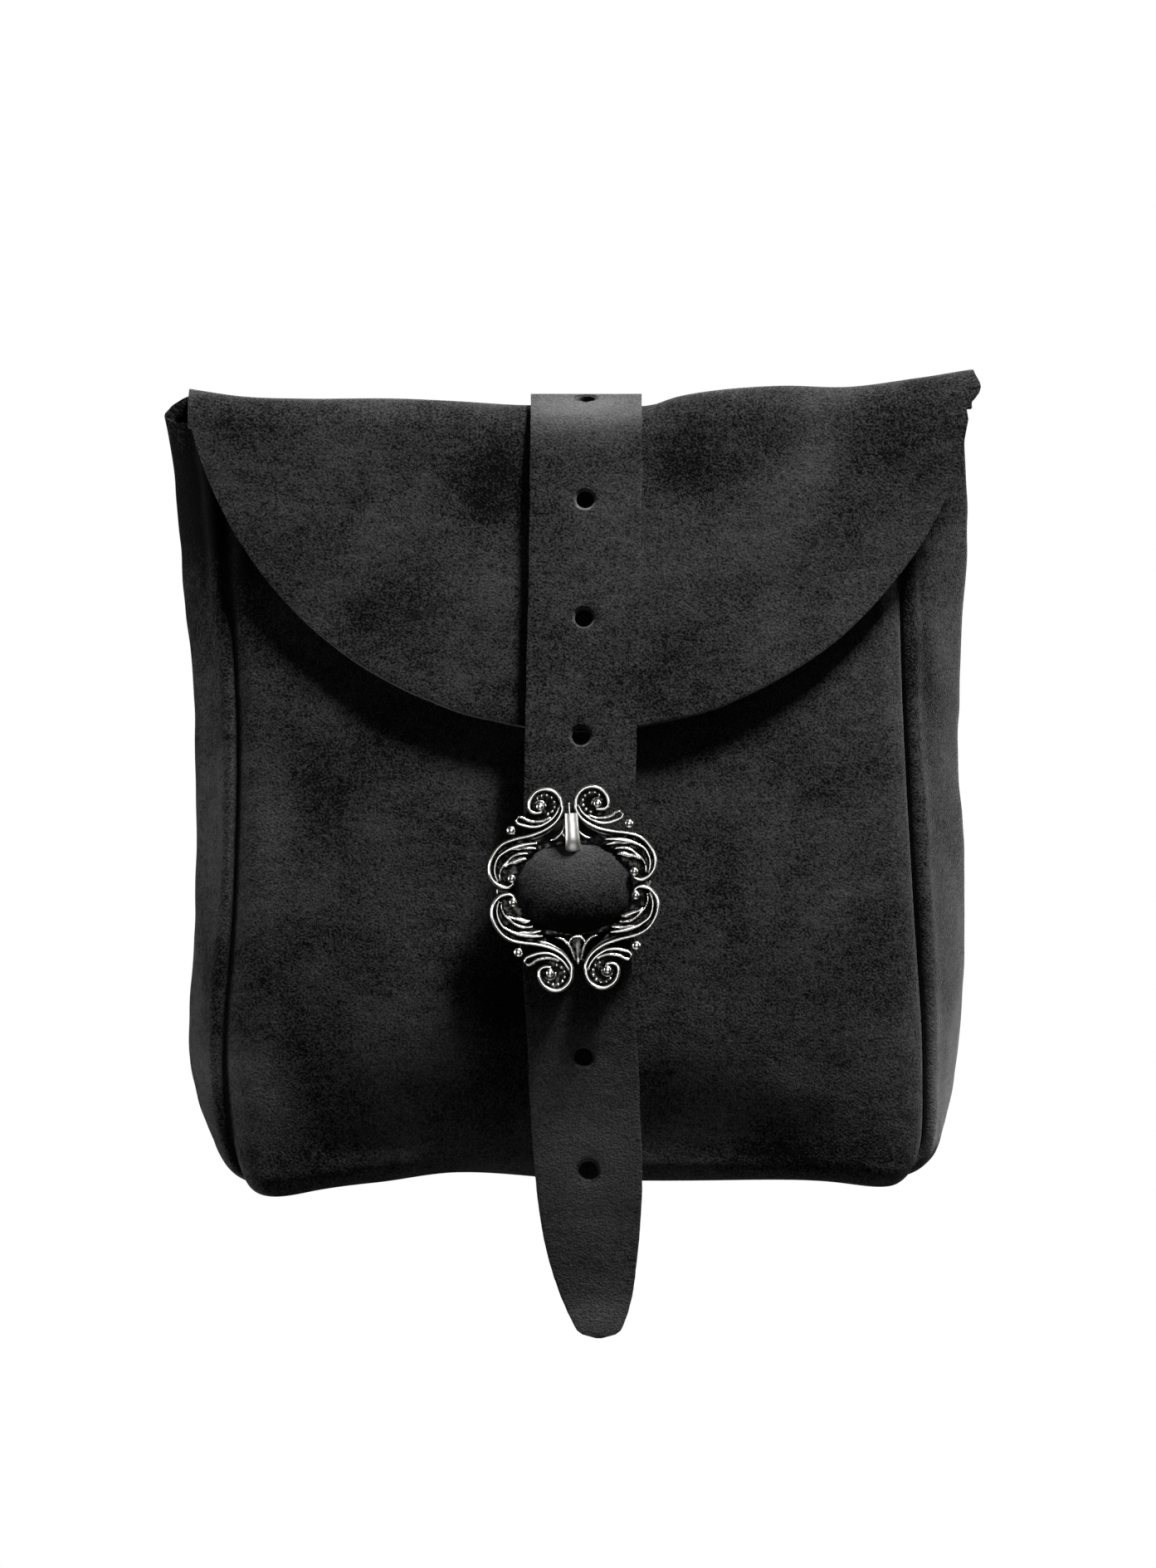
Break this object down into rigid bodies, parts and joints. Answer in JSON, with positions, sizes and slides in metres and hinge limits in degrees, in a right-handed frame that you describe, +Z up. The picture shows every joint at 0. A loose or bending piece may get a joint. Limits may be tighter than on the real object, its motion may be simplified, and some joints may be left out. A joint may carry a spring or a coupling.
{
  "type": "belt bag",
  "caption": "Black suede belt bag with a half-round flap, a punched suede strap over the front and an ornate cast scroll buckle in antique silver.",
  "frame": {"origin": "middle of the belt passage, halfway between the back panel's rear face and the strap's tail behind it", "axes": "+Z up as the bag hangs from a belt, +X to the right in the picture, -Y out of the front of the bag"},
  "size_m": [0.1837, 0.056, 0.2158],
  "materials": {
    "suede": "napped charcoal-black suede, matt, mottled where the nap lies either way",
    "antique_silver": "cast white metal in antique silver, worn bright on the relief and black in its recesses"
  },
  "bodies": {
    "root": {"back_and_flap": "suede", "front_panel": "suede", "gusset": "suede", "strap": "suede", "buckle_frame": "antique_silver", "buckle_tongue": "antique_silver", "buckle_chape": "suede"}
  },
  "joints": []
}
